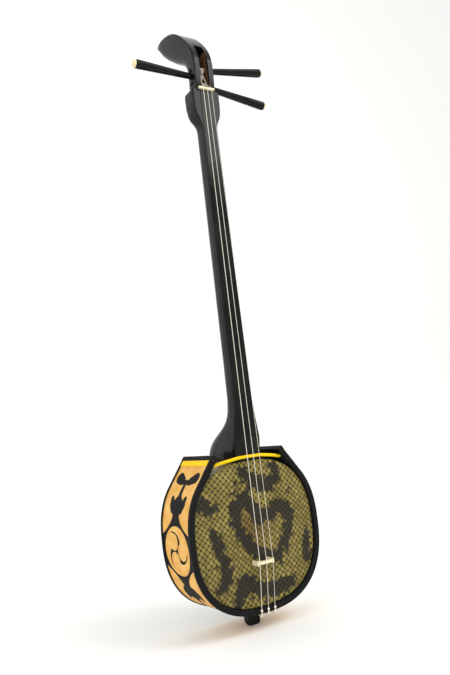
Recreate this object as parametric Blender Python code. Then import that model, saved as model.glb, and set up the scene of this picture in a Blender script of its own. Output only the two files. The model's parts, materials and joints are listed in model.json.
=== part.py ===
# A sanshin: a three-stringed plucked lute with a python-skin body and a long fretless neck.
# The frame has +Z up along the neck and the front faces -Y; the origin is on the tail's flat end.
import math

import bmesh
import bpy
from mathutils import Matrix, Vector

# Driving dimensions, in metres
GAP = 0.0003  # left between pieces that touch

BODY_HALF = 0.0855  # from the body's middle to the outside of its wooden frame
BODY_SHAPE = 2.5  # exponent of its rounded-square outline: 2 is a circle
BODY_POINTS = 64  # points round the whole outline
FRAME_WALL = 0.014
FRAME_DEPTH = 0.0668
SKIN_THICK = 0.0008
SKIN_WRAP = 0.014  # how far a skin comes down the frame's outside

BAND_DEPTH = 0.076  # front to back, with its bindings
BAND_THICK = 0.005
LINING_THICK = 0.0008
BINDING_THICK = 0.0008
BINDING_LEG = 0.005  # how far the binding shows on the band's outside
BAND_LEAVES = math.radians(38)  # where the band leaves the body's outline, above +X
BAND_STRAIGHT = 0.044  # the straight ends above that
RIBBON_WIDE = 0.0075
TIE_RADIUS = 0.0021
TIE_HIGH = 0.005  # the tie cords' middle, above the body's top

TAIL_LENGTH = 0.020
TAIL_HALF = 0.0082
TAIL_DEEP = 0.0070  # half of it, front to back
STICK_DEEP = 0.014  # half of the stick where it meets the heel

NECK_LENGTH = 0.4858  # from the body's top to the nut
NECK_FRONT = -0.040  # the fingerboard's face
NECK_DEEP = 0.0230
NECK_HALF_TOP = 0.0116
NECK_HALF_LOW = 0.0142
HEEL_HALF = 0.0200
HEEL_FRONT = -0.0352
HEEL_BACK = 0.0345
SHOULDER_HALF = 0.0205
SHOULDER_DEEP = 0.0290
HEAD_HALF = 0.0148
SLOT_HALF = 0.0066
SLOT_DEEP = 0.0155  # behind the fingerboard's face
SLOT_LENGTH = 0.051  # its floor's top end, above the nut
SLOT_WALL = 0.0009  # wood between the nut and the slot
SLOT_OPEN = 0.030  # how far its cutter reaches out of the front

NUT_HALF = 0.0115
NUT_THICK = 0.0026
NUT_HIGH = 0.0036  # above the fingerboard
NUT_SEAT = 0.0013  # sunk into it

PEG_PITCH = 0.0106  # between the pegs' axes along the head
PEG_FIRST = 0.0088  # the lowest axis, above the nut
PEG_IN = 0.009  # the axes, behind the fingerboard's face
PEG_RADIUS = 0.0034  # at the middle of the slot
PEG_TAPER = 0.028  # growth of the shaft's radius per metre
PEG_LENGTH = 0.0950  # from the slot's middle to the handle's end
HANDLE_THIN = 0.0042
HANDLE_THICK = 0.0060
FLUTES = 8
TIP_LENGTH = 0.0045

STRING_NUT_PITCH = 0.0062
STRING_BRIDGE_PITCH = 0.0097
STRING_END_PITCH = 0.0098
TURNS = 4
TURN_POINTS = 24
TURN_CLEAR = 0.0005  # between the turns of a winding

BRIDGE_HALF = 0.0123
BRIDGE_HIGH = 0.0125
BRIDGE_THICK = 0.0036
BRIDGE_Z = 0.0795

KNOT_RADIUS = 0.0016
LEG_RADIUS = 0.0009
LOOP_RADIUS = 0.0013

# Places worked out from them
SKIN_OUT = GAP + SKIN_THICK
LINING_IN = SKIN_OUT + GAP
LINING_OUT = LINING_IN + LINING_THICK
BAND_IN = LINING_OUT + GAP
BAND_OUT = BAND_IN + BAND_THICK
RIM_OUT = BAND_OUT + GAP + BINDING_THICK
BODY_Z = TAIL_LENGTH + RIM_OUT + BODY_HALF
BODY_TOP = BODY_Z + BODY_HALF + SKIN_OUT
HEEL_Z = BODY_TOP + GAP
NUT_Z = BODY_TOP + NECK_LENGTH
SKIN_FRONT = FRAME_DEPTH / 2 + GAP + SKIN_THICK
RIM_DEEP = BAND_DEPTH / 2
CORE_DEEP = RIM_DEEP - BINDING_THICK - GAP
TIE_Z = BODY_TOP + TIE_HIGH
STRING_RADIUS = {"thick": 0.00040, "middle": 0.00033, "thin": 0.00028}


def material(name, colour, roughness, metallic=0.0):
    mat = bpy.data.materials.new(name)
    mat.use_nodes = True
    shader = mat.node_tree.nodes["Principled BSDF"]
    shader.inputs["Base Color"].default_value = (*colour, 1.0)
    shader.inputs["Roughness"].default_value = roughness
    shader.inputs["Metallic"].default_value = metallic
    return mat


def add_object(name, data, mat=None):
    obj = bpy.data.objects.new(name, data)
    if mat:
        data.materials.append(mat)
    bpy.context.scene.collection.objects.link(obj)
    return obj


def finish_mesh(name, bm, mat=None, smooth=None):
    bmesh.ops.recalc_face_normals(bm, faces=bm.faces)
    mesh = bpy.data.meshes.new(name)
    bm.to_mesh(mesh)
    bm.free()
    if smooth:
        mesh.shade_smooth()
        mesh.set_sharp_from_angle(angle=math.radians(smooth))
    return add_object(name, mesh, mat)


def loft(name, rings, mat=None, smooth=None):
    # Joins rings of the same number of points, with a flat face at each end
    bm = bmesh.new()
    loops = [[bm.verts.new(point) for point in ring] for ring in rings]
    for low, high in zip(loops, loops[1:]):
        for i in range(len(low)):
            j = (i + 1) % len(low)
            bm.faces.new((low[i], low[j], high[j], high[i]))
    bm.faces.new(loops[0])
    bm.faces.new(loops[-1])
    return finish_mesh(name, bm, mat, smooth)


def prism(name, outline, y_low, y_high, mat=None):
    # Extrudes an outline of (x, z) points along Y.
    rings = [[(x, y, z) for x, z in outline] for y in (y_low, y_high)]
    return loft(name, rings, mat)


def box(name, x_span, y_span, z_span, mat=None):
    left, right = x_span
    low, high = z_span
    return prism(name, [(left, low), (right, low), (right, high), (left, high)], *y_span, mat)


def tube(name, points, radius, mat, cyclic=False):
    curve = bpy.data.curves.new(name, "CURVE")
    curve.dimensions = "3D"
    curve.bevel_depth = radius
    curve.bevel_resolution = 1
    curve.use_fill_caps = not cyclic
    spline = curve.splines.new("POLY")
    spline.points.add(len(points) - 1)
    for spot, point in zip(spline.points, points):
        spot.co = (*point, 1.0)
    spline.use_cyclic_u = cyclic
    return add_object(name, curve, mat)


def cut(target, cutter):
    cutter.hide_render = True
    cutter.display_type = "WIRE"
    boolean = target.modifiers.new(cutter.name, "BOOLEAN")
    boolean.operation = "DIFFERENCE"
    boolean.solver = "EXACT"
    boolean.object = cutter


def signed_power(value, power):
    return math.copysign(abs(value) ** power, value)


def outline_frame(angle):
    # The point, outward normal and upward-turning tangent of the body's outline, as (x, z) pairs.
    x = signed_power(math.cos(angle), 2 / BODY_SHAPE)
    z = signed_power(math.sin(angle), 2 / BODY_SHAPE)
    normal = Vector((signed_power(x, BODY_SHAPE - 1), signed_power(z, BODY_SHAPE - 1))).normalized()
    point = Vector((x * BODY_HALF, z * BODY_HALF + BODY_Z))
    return point, normal, Vector((-normal.y, normal.x))


def outline_point(angle, offset):
    point, normal, _ = outline_frame(angle)
    return point + normal * offset


def ring_round_body(offset, y):
    ring = []
    for i in range(BODY_POINTS):
        x, z = outline_point(math.tau * (i + 0.5) / BODY_POINTS, offset)
        ring.append((x, y, z))
    return ring


def band_end_point(side, along, offset):
    # A place on a straight end of the band, this far along it and outside the body's outline.
    point, normal, tangent = outline_frame(BAND_LEAVES)
    place = point + normal * offset + tangent * along
    return Vector((side * place.x, place.y))


def band_path(offset, along):
    # From the left end round under the body to the right end.
    start = math.pi - BAND_LEAVES
    span = math.pi + 2 * BAND_LEAVES
    steps = round(BODY_POINTS * span / math.tau)
    arc = [outline_point(start + span * i / steps, offset) for i in range(steps + 1)]
    return [band_end_point(-1, along, offset), *arc, band_end_point(1, along, offset)]


def band_strip(name, section, along, mat):
    # Carries a section of (offset, y) points along the band.
    paths = [(band_path(offset, along), y) for offset, y in section]
    rings = [[(path[i].x, y, path[i].y) for path, y in paths] for i in range(len(paths[0][0]))]
    return loft(name, rings, mat, smooth=40)


def build_frame(wood, stick_hole_top, stick_hole_low):
    # Four walls with a mitre between them
    shrink = GAP / (1.2 * BODY_HALF)
    middles = {"right_frame": 0, "top_frame": 90, "left_frame": 180, "bottom_frame": 270}
    steps = BODY_POINTS // 4
    for name, middle in middles.items():
        start = math.radians(middle - 45) + shrink
        span = math.pi / 2 - 2 * shrink
        rings = []
        for i in range(steps + 1):
            point, normal, _ = outline_frame(start + span * i / steps)
            inner = point - normal * FRAME_WALL
            deep = FRAME_DEPTH / 2
            corners = [(point, -deep), (point, deep), (inner, deep), (inner, -deep)]
            rings.append([(place.x, y, place.y) for place, y in corners])
        wall = loft(name, rings, wood, smooth=40)
        if name == "top_frame":
            cut(wall, stick_hole_top)
        if name == "bottom_frame":
            cut(wall, stick_hole_low)


def build_skin(name, side, skin):
    # A stretched sheet with its rim folded down the outside of the frame
    inner_face = side * (SKIN_FRONT - SKIN_THICK)
    outer_face = side * SKIN_FRONT
    hem = side * (FRAME_DEPTH / 2 - SKIN_WRAP)
    rounding = SKIN_THICK * 1.5
    profile = [
        (GAP, inner_face),
        (GAP, hem),
        (SKIN_OUT, hem),
        (SKIN_OUT, outer_face - side * rounding),
        (SKIN_OUT - rounding * 0.3, outer_face - side * rounding * 0.3),
        (SKIN_OUT - rounding, outer_face),
    ]
    loft(name, [ring_round_body(offset, y) for offset, y in profile], skin, smooth=50)


def build_band(mats, stick_hole_low):
    long_end = BAND_STRAIGHT - BINDING_LEG - GAP
    tie_along = long_end - GAP - RIBBON_WIDE / 2
    layers = []
    for name, low, high, mat in (
        ("band_lining", LINING_IN, LINING_OUT, mats["lining"]),
        ("band", BAND_IN, BAND_OUT, mats["cloth"]),
    ):
        section = [(low, -CORE_DEEP), (low, CORE_DEEP), (high, CORE_DEEP), (high, -CORE_DEEP)]
        layer = band_strip(name, section, BAND_STRAIGHT, mat)
        cut(layer, stick_hole_low)
        layers.append(layer)

    for name, side in (("front_binding", -1), ("back_binding", 1)):
        edge = side * RIM_DEEP
        fold = side * (CORE_DEEP + GAP)
        leg = side * (RIM_DEEP - BINDING_LEG)
        section = [
            (LINING_IN, edge),
            (RIM_OUT, edge),
            (RIM_OUT, leg),
            (BAND_OUT + GAP, leg),
            (BAND_OUT + GAP, fold),
            (LINING_IN, fold),
        ]
        band_strip(name, section, long_end, mats["binding"])

    for side, word in ((-1, "left"), (1, "right")):
        build_band_end(word, side, tie_along, mats)
        for depth, place in ((-tie_hole_depth(), "front"), (tie_hole_depth(), "back")):
            hole = tie_hole(f"{word}_{place}_tie_hole", side, tie_along, depth)
            for layer in layers:
                cut(layer, hole)
    return tie_along


def build_band_end(word, side, tie_along, mats):
    # The binding's cap over an end, and the ribbon just below it
    def slab(name, along_span, offset_span, deep, mat=None):
        spots = [(along_span[0], offset_span[0]), (along_span[1], offset_span[0])]
        spots += [(along_span[1], offset_span[1]), (along_span[0], offset_span[1])]
        outline = [band_end_point(side, along, offset) for along, offset in spots]
        return prism(name, [(p.x, p.y) for p in outline], -deep, deep, mat)

    top = BAND_STRAIGHT + GAP + BINDING_THICK
    low = BAND_STRAIGHT - BINDING_LEG
    cap = slab(f"{word}_end_binding", (low, top), (LINING_IN, RIM_OUT), RIM_DEEP, mats["binding"])
    inside_spans = ((0.0, BAND_STRAIGHT + GAP), (0.0, BAND_OUT + GAP))
    inside = slab(f"{word}_end_inside", *inside_spans, CORE_DEEP + GAP)
    cut(cap, inside)
    ribbon_span = (tie_along - RIBBON_WIDE / 2, tie_along + RIBBON_WIDE / 2)
    ribbon_deep = RIM_DEEP - BINDING_LEG - GAP
    slab(f"{word}_ribbon", ribbon_span, (BAND_OUT + GAP, RIM_OUT), ribbon_deep, mats["tie"])


def tie_hole_depth():
    # The holes lie just inside the long bindings
    return RIM_DEEP - BINDING_LEG - GAP - TIE_RADIUS


def tie_hole(name, side, along, y):
    radius = TIE_RADIUS + GAP
    start = band_end_point(side, along, LINING_IN - 0.004)
    end = band_end_point(side, along, BAND_OUT + 0.004)
    axis = Vector((end.x - start.x, 0, end.y - start.y)).normalized()
    across = Vector((axis.z, 0, -axis.x))
    rings = []
    for centre in (start, end):
        ring = []
        for i in range(12):
            turn = math.tau * i / 12
            middle = Vector((centre.x, y + radius * math.sin(turn), centre.y))
            ring.append(middle + across * radius * math.cos(turn))
        rings.append(ring)
    return loft(name, rings)


def build_tie_cords(tie_along, tie):
    # Each cord goes through both ends of the band and passes the heel on its own side
    for name, side, heel_face in (("front_cord", -1, -HEEL_FRONT), ("back_cord", 1, HEEL_BACK)):
        middle_y = heel_face + GAP + TIE_RADIUS
        hole_y = tie_hole_depth()
        outside = band_end_point(1, tie_along, BAND_OUT)
        inside = band_end_point(1, tie_along, LINING_IN - TIE_RADIUS * 0.4)
        clear_x = HEEL_HALF + TIE_RADIUS
        half = [(outside.x, hole_y, outside.y), (inside.x, hole_y, inside.y)]
        reach = inside.x - TIE_RADIUS
        for share in (0.93, 0.82, 0.68, 0.52):
            x = reach * share
            rise = 1 - share ** 2
            ramp = max(0.0, (x - clear_x) / (reach - clear_x))
            y = middle_y + (hole_y - middle_y) * ramp ** 1.5
            half.append((x, y, inside.y + (TIE_Z - inside.y) * rise))
        half.append((clear_x * 0.7, middle_y, inside.y + (TIE_Z - inside.y) * 0.94))
        middle = [(0.0, middle_y, TIE_Z)]
        other = [(-x, y, z) for x, y, z in reversed(half)]
        points = [(x, side * y, z) for x, y, z in half + middle + other]
        tube(name, points, TIE_RADIUS, tie)


def neck_ring(front, back, half, box_power):
    # A flat face at the front with eased edges, and a rounded back; front and back are (y, z) pairs.
    front = Vector(front)
    back = Vector(back)
    ease = half * 0.08
    flat = [(-half + ease, 0.0), (half - ease, 0.0), (half, 0.06)]
    belly = []
    for i in range(11):
        turn = math.pi * i / 10
        across = signed_power(math.cos(turn), 2 / box_power) * half
        deep = 0.35 + 0.65 * abs(math.sin(turn)) ** (2 / box_power)
        belly.append((across, deep))
    ring = flat + belly + [(-half, 0.06)]
    return [(across, *(front + (back - front) * deep)) for across, deep in ring]


def level_ring(z, front, back, half, box_power):
    return neck_ring((front, z), (back, z), half, box_power)


def refine(rows, parts):
    # Adds rows on smooth curves between the given ones
    padded = [rows[0], *rows, rows[-1]]
    found = []
    for quad in zip(padded, padded[1:], padded[2:], padded[3:]):
        for i in range(parts):
            t = i / parts
            row = []
            for a, b, c, d in zip(*quad):
                bend = (2 * a - 5 * b + 4 * c - d) * t ** 2 + (3 * b - a - 3 * c + d) * t ** 3
                row.append(b + ((c - a) * t + bend) / 2)
            found.append(row)
    return [*found, rows[-1]]


def tail_rings():
    stick_low = BODY_Z - BODY_HALF + FRAME_WALL
    stick_top = BODY_Z + BODY_HALF - FRAME_WALL
    return [
        level_ring(0.0, -TAIL_DEEP * 0.75, TAIL_DEEP * 0.75, TAIL_HALF * 0.8, 5),
        level_ring(TAIL_LENGTH * 0.1, -TAIL_DEEP * 0.95, TAIL_DEEP * 0.95, TAIL_HALF * 0.95, 6),
        level_ring(TAIL_LENGTH * 0.22, -TAIL_DEEP, TAIL_DEEP, TAIL_HALF, 8),
        level_ring(stick_low, -TAIL_DEEP, TAIL_DEEP, TAIL_HALF, 8),
        level_ring(stick_top, -STICK_DEEP, STICK_DEEP, TAIL_HALF, 8),
        level_ring(HEEL_Z, -STICK_DEEP, STICK_DEEP, TAIL_HALF, 8),
    ]


def heel_rings():
    # (height above the body's top, how far the back has come in to the neck's, width, box power)
    back_end = NECK_FRONT + NECK_DEEP
    steps = [
        (0.000, 0.00, 1.00, 5.5),
        (0.010, 0.00, 1.00, 5.0),
        (0.017, 0.04, 0.99, 4.5),
        (0.024, 0.14, 0.96, 4.0),
        (0.031, 0.30, 0.92, 3.5),
        (0.038, 0.52, 0.88, 3.1),
        (0.045, 0.72, 0.84, 2.8),
        (0.052, 0.86, 0.80, 2.7),
        (0.062, 0.96, 0.76, 2.6),
        (0.077, 1.00, 0.72, 2.6),
    ]
    rings = []
    for height, come_in, wide, box_power in refine(steps, 2):
        back = HEEL_BACK + (back_end - HEEL_BACK) * come_in
        slope = min(1.0, max(0.0, (height - 0.010) / 0.017))
        front = HEEL_FRONT + (NECK_FRONT - HEEL_FRONT) * slope
        rings.append(level_ring(HEEL_Z + height, front, back, HEEL_HALF * wide, box_power))
    return rings


def shoulder_rings():
    # The neck's top and the bulges under the nut, as (below the nut, share of the bulge, box power)
    back = NECK_FRONT + NECK_DEEP
    steps = [
        (0.056, 0.00, 2.6),
        (0.049, 0.08, 2.7),
        (0.043, 0.34, 3.0),
        (0.038, 0.66, 3.4),
        (0.031, 0.88, 3.8),
        (0.020, 1.00, 4.2),
        (0.005, 1.00, 4.5),
        (0.0022, 0.96, 4.5),
        (0.0012, 0.86, 4.5),
    ]
    rings = [level_ring(HEEL_Z + 0.12, NECK_FRONT, back, NECK_HALF_LOW * 0.97, 2.6)]
    for below, share, box_power in steps:
        half = NECK_HALF_TOP + (SHOULDER_HALF - NECK_HALF_TOP) * share
        bulge_back = back + (SHOULDER_DEEP - NECK_DEEP) * share
        rings.append(level_ring(NUT_Z - below, NECK_FRONT, bulge_back, half, box_power))
    rings.append(level_ring(NUT_Z - 0.0008, NECK_FRONT - 0.0002, back, HEAD_HALF, 3.5))
    return rings


def head_rings():
    # The head bends back. Each step is its front point, its back point and its share of the width:
    # a point is how far it lies behind the fingerboard's face, and how far above the nut.
    steps = [
        (-0.0005, 0.0020, 0.0230, 0.0020, 1.00),
        (-0.0018, 0.0150, 0.0225, 0.0150, 1.00),
        (-0.0025, 0.0290, 0.0215, 0.0260, 1.00),
        (-0.0015, 0.0430, 0.0235, 0.0350, 1.00),
        (0.0030, 0.0570, 0.0285, 0.0440, 1.00),
        (0.0120, 0.0710, 0.0380, 0.0520, 1.00),
        (0.0240, 0.0850, 0.0500, 0.0600, 1.01),
        (0.0370, 0.0970, 0.0615, 0.0690, 1.02),
        (0.0510, 0.1052, 0.0725, 0.0780, 1.02),
        (0.0660, 0.1100, 0.0825, 0.0880, 1.01),
        (0.0810, 0.1110, 0.0900, 0.0990, 0.97),
        (0.0920, 0.1100, 0.0945, 0.1055, 0.86),
    ]
    rings = []
    for front_in, front_up, back_in, back_up, wide in refine(steps, 3):
        front = (NECK_FRONT + front_in, NUT_Z + front_up)
        back = (NECK_FRONT + back_in, NUT_Z + back_up)
        rings.append(neck_ring(front, back, HEAD_HALF * wide, 3.5))
    return rings


def build_neck(lacquer):
    neck = loft("neck", tail_rings() + heel_rings() + shoulder_rings() + head_rings(), lacquer, smooth=35)
    slot_low = NUT_THICK / 2 + SLOT_WALL
    slot_side = [
        (-SLOT_OPEN, slot_low),
        (SLOT_DEEP, slot_low),
        (SLOT_DEEP, SLOT_LENGTH * 0.64),
        (SLOT_DEEP + 0.0055, SLOT_LENGTH),
        (SLOT_DEEP + 0.0005, SLOT_LENGTH + 0.012),
        (-SLOT_OPEN, SLOT_LENGTH + 0.034),
    ]
    rings = [[(x, NECK_FRONT + y, NUT_Z + z) for y, z in slot_side] for x in (-SLOT_HALF, SLOT_HALF)]
    cut(neck, loft("string_slot", rings))
    seat_half = NUT_THICK / 2 + GAP
    seat_floor = NECK_FRONT + NUT_SEAT + GAP
    seat_across = (-NUT_HALF - GAP, NUT_HALF + GAP)
    seat_deep = (NECK_FRONT - SLOT_OPEN, seat_floor)
    cut(neck, box("nut_seat", seat_across, seat_deep, (NUT_Z - seat_half, NUT_Z + seat_half)))
    for peg in pegs():
        ends = (-2 * HEAD_HALF, 2 * HEAD_HALF)
        hole = [peg_ring(peg, x, shaft_radius(x) + GAP) for x in ends]
        cut(neck, loft(f"{peg['name']}_hole", hole))


def build_nut(ivory):
    span_z = (NUT_Z - NUT_THICK / 2, NUT_Z + NUT_THICK / 2)
    box("nut", (-NUT_HALF, NUT_HALF), (NECK_FRONT - NUT_HIGH, NECK_FRONT + NUT_SEAT), span_z, ivory)


def pegs():
    # Side, order up the head, and the slopes of the handle upwards and forwards
    facts = [("lower", 1, 0, -10, 4), ("left", -1, 1, 1.5, 0), ("upper", 1, 2, 7, 4)]
    found = []
    for name, side, order, up, forward in facts:
        slope = Vector((side, -math.tan(math.radians(forward)), math.tan(math.radians(up))))
        direction = slope.normalized()
        centre = Vector((0, NECK_FRONT + PEG_IN, NUT_Z + PEG_FIRST + PEG_PITCH * order))
        found.append({"name": f"{name}_peg", "centre": centre, "direction": direction})
    return found


def shaft_radius(x):
    return PEG_RADIUS + PEG_TAPER * x


def peg_matrix(peg):
    turn = peg["direction"].to_track_quat("X", "Z").to_matrix().to_4x4()
    return Matrix.Translation(peg["centre"]) @ turn


def peg_ring(peg, x, radius, flute=0.0, place=True):
    # Points round the peg's axis; a flute is the share that every other point is drawn in.
    ring = []
    for i in range(2 * FLUTES):
        turn = math.tau * i / (2 * FLUTES)
        reach = radius * (1 - flute * (i % 2))
        ring.append(Vector((x, reach * math.cos(turn), reach * math.sin(turn))))
    if place:
        return [peg_matrix(peg) @ point for point in ring]
    return ring


def build_peg(peg, lacquer, ivory):
    far = -HEAD_HALF - 0.0015
    near = HEAD_HALF + 0.0022
    handle = near + 0.004
    stations = [
        (far, shaft_radius(far) * 0.9, 0.0),
        (far + 0.0005, shaft_radius(far), 0.0),
        (near, shaft_radius(near), 0.0),
        (handle, HANDLE_THIN, 0.10),
        (handle + 0.030, HANDLE_THIN * 0.62 + HANDLE_THICK * 0.38, 0.12),
        (PEG_LENGTH - 0.002, HANDLE_THICK, 0.12),
        (PEG_LENGTH, HANDLE_THICK * 0.93, 0.10),
    ]
    rings = [peg_ring(peg, x, radius, flute, place=False) for x, radius, flute in stations]
    shaft = loft(peg["name"], rings, lacquer, smooth=20)
    shaft.matrix_world = peg_matrix(peg)

    start = PEG_LENGTH + GAP
    dome = []
    for share in (0.0, 0.35, 0.65, 0.85, 0.97):
        radius = HANDLE_THICK * 0.84 * math.sqrt(1 - share ** 2)
        dome.append(peg_ring(peg, start + TIP_LENGTH * share, radius, place=False))
    tip = loft(f"{peg['name']}_tip", dome, ivory, smooth=50)
    tip.matrix_world = peg_matrix(peg)


def axis_point(peg, x):
    share = (x - peg["centre"].x) / peg["direction"].x
    return peg["centre"] + peg["direction"] * share


def string_line(size, order):
    # Where a string turns over the nut's upper edge, and where it crosses the bridge
    radius = STRING_RADIUS[size]
    nut_edge = NUT_Z + NUT_THICK / 2 + radius
    nut = Vector((order * STRING_NUT_PITCH, NECK_FRONT - NUT_HIGH - GAP - radius, nut_edge))
    bridge = Vector((order * STRING_BRIDGE_PITCH, -SKIN_FRONT - 2 * GAP - BRIDGE_HIGH - radius, BRIDGE_Z))
    return nut, bridge


def tangent_turn(peg, x, reach, nut):
    # The angle, in the Y Z plane, at which a string from the nut first touches its peg
    centre = axis_point(peg, x)
    away = Vector((nut.y - centre.y, nut.z - centre.z))
    heading = math.atan2(away.y, away.x)
    return heading - math.acos(reach / away.length)


def winding_points(peg, size, order, start_x, step):
    # Straight where it takes over from the string, then turns up the shaft of the peg
    radius = STRING_RADIUS[size]
    nut, _ = string_line(size, order)
    pitch = (2 * radius + TURN_CLEAR) * step
    shaft_x = abs(start_x) + TURNS * abs(pitch)
    reach = shaft_radius(shaft_x) + GAP + radius
    first = tangent_turn(peg, start_x, reach, nut)
    turns = []
    for i in range(TURNS * TURN_POINTS + 1):
        share = i / TURN_POINTS
        centre = axis_point(peg, start_x + pitch * share)
        turn = first - math.tau * share
        turns.append(centre + Vector((0, reach * math.cos(turn), reach * math.sin(turn))))
    # The straight start is long enough for the turns to pass clear of the string's end
    clear = reach + 2 * radius + GAP / 2
    lead = (nut - turns[0]).normalized()
    start = turns[0] + lead * math.sqrt(clear ** 2 - reach ** 2)
    trail = (turns[-1] - turns[-2]).normalized()
    return [start, *turns, turns[-1] + trail * 2 * radius], lead


def least_gap(points, radius):
    # The smallest clear space between points half a turn or more apart
    apart = TURN_POINTS // 2
    spaces = [(a - b).length for i, a in enumerate(points) for b in points[i + apart:]]
    return min(spaces) - 2 * radius


def build_strings(silk):
    by_name = {peg["name"]: peg for peg in pegs()}
    facts = [
        ("thick", -1, "left_peg", -0.0045, 1),
        ("middle", 0, "upper_peg", -0.0010, 1),
        ("thin", 1, "lower_peg", 0.0045, -1),
    ]
    for size, order, peg_name, start_x, step in facts:
        radius = STRING_RADIUS[size]
        wound, lead = winding_points(by_name[peg_name], size, order, start_x, step)
        tube(f"{size}_winding", wound, radius, silk)
        print(f"{size}_winding least gap {least_gap(wound, radius) * 1000:.2f} mm")
        nut, bridge = string_line(size, order)
        knot = knot_centre(order)
        end = knot + (bridge - knot).normalized() * (KNOT_RADIUS + GAP)
        tube(f"{size}_string", [wound[0] + lead * GAP, nut, bridge, end], radius, silk)


def knot_centre(order):
    low = BODY_Z - BODY_HALF - (LINING_IN + RIM_OUT) / 2
    return Vector((order * STRING_END_PITCH, -RIM_DEEP - GAP - KNOT_RADIUS, low + 0.001))


def build_bridge(ivory):
    # Rings along X: a waist between two thick feet, with an arch under it
    foot = -SKIN_FRONT - GAP
    top = foot - BRIDGE_HIGH
    steps = [
        (-1.00, 0.62, 0.00, 0.90),
        (-0.95, 0.80, 0.00, 1.00),
        (-0.78, 0.80, 0.00, 1.00),
        (-0.66, 0.55, 0.06, 1.00),
        (-0.56, 0.50, 0.42, 1.00),
        (-0.28, 0.50, 0.56, 1.00),
        (0.00, 0.50, 0.60, 1.00),
    ]
    steps += [(-share, thick, under, high) for share, thick, under, high in reversed(steps[:-1])]
    rings = []
    for share, thick, under, high in steps:
        x = BRIDGE_HALF * share
        half = BRIDGE_THICK * thick
        ease = BRIDGE_THICK * 0.2
        low_y = foot + (top - foot) * under
        high_y = foot + (top - foot) * high
        side = [(low_y, -half), (high_y + ease, -half), (high_y, -half + ease), (high_y, half - ease)]
        side += [(high_y + ease, half), (low_y, half)]
        rings.append([(x, y, BRIDGE_Z + z) for y, z in side])
    loft("bridge", rings, ivory, smooth=40)


def build_tail_cords(silk):
    # The loop lies round the stub; a leg goes from it to each knot, under and round the band's edge
    loop_z = TAIL_LENGTH - GAP - LEG_RADIUS - LOOP_RADIUS
    reach = 1.5 * GAP + LOOP_RADIUS
    loop = []
    for i in range(16):
        corner = i // 4
        turn = math.radians(90 * corner + 30 * (i % 4))
        x = TAIL_HALF * (1, -1, -1, 1)[corner] + reach * math.cos(turn)
        y = TAIL_DEEP * (1, 1, -1, -1)[corner] + reach * math.sin(turn)
        loop.append((x, y, loop_z))
    tube("tail_loop", loop, LOOP_RADIUS, silk, cyclic=True)

    under = TAIL_LENGTH - GAP - LEG_RADIUS * 1.15
    front = -RIM_DEEP - GAP - LEG_RADIUS * 1.15
    for word, order in (("left", -1), ("middle", 0), ("right", 1)):
        knot = knot_centre(order)
        ball = bmesh.new()
        bmesh.ops.create_uvsphere(ball, u_segments=12, v_segments=8, radius=KNOT_RADIUS)
        finish_mesh(f"{word}_knot", ball, silk, smooth=60).location = knot
        x = knot.x
        meet = -TAIL_DEEP - reach - LOOP_RADIUS - GAP
        points = [
            (x, knot.y, knot.z - KNOT_RADIUS - GAP),
            (x, front, TAIL_LENGTH + 0.0004),
            (x * 0.98, front + 0.0006, under - 0.0001),
            (x * 0.95, front + 0.0022, under - 0.0003),
            (x * 0.50, meet - 0.006, (under + loop_z) / 2),
            (x * 0.38, meet - 0.002, loop_z),
            (x * 0.38, meet, loop_z),
        ]
        tube(f"{word}_leg", points, LEG_RADIUS, silk)


def build():
    for obj in list(bpy.data.objects):
        bpy.data.objects.remove(obj)
    lacquer = material("black_lacquer", (0.012, 0.012, 0.013), 0.12)
    ivory = material("cream_ivory", (0.82, 0.74, 0.52), 0.35)
    silk = material("cream_silk", (0.85, 0.80, 0.66), 0.45)
    wood = material("frame_wood", (0.42, 0.24, 0.12), 0.6)
    skin = material("python_skin", (0.26, 0.22, 0.07), 0.35)
    mats = {
        "cloth": material("gold_cloth", (0.72, 0.44, 0.12), 0.6),
        "lining": material("black_lining", (0.015, 0.015, 0.016), 0.8),
        "binding": material("black_binding", (0.012, 0.012, 0.013), 0.6),
        "tie": material("yellow_tie", (0.90, 0.58, 0.03), 0.6),
    }

    wide = TAIL_HALF + GAP
    deep_low = TAIL_DEEP + GAP
    deep_top = STICK_DEEP + GAP
    low_span = (0.0, BODY_Z - BODY_HALF + 2 * FRAME_WALL)
    top_span = (BODY_Z + BODY_HALF - 2 * FRAME_WALL, BODY_Z + BODY_HALF + FRAME_WALL)
    hole_low = box("stick_hole_low", (-wide, wide), (-deep_low, deep_low), low_span)
    hole_top = box("stick_hole_top", (-wide, wide), (-deep_top, deep_top), top_span)

    build_frame(wood, hole_top, hole_low)
    build_skin("front_skin", -1, skin)
    build_skin("back_skin", 1, skin)
    tie_along = build_band(mats, hole_low)
    build_tie_cords(tie_along, mats["tie"])
    build_neck(lacquer)
    build_nut(ivory)
    for peg in pegs():
        build_peg(peg, lacquer, ivory)
    build_strings(silk)
    build_bridge(ivory)
    build_tail_cords(silk)


build()
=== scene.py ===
# A sanshin standing on its tail in front of a pale backdrop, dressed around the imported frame.
# The frame has +Z up along the neck and the front faces -Y; every length is in metres.
import json
import math

import bmesh
import bpy
import numpy as np
from mathutils import Matrix, Vector


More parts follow.
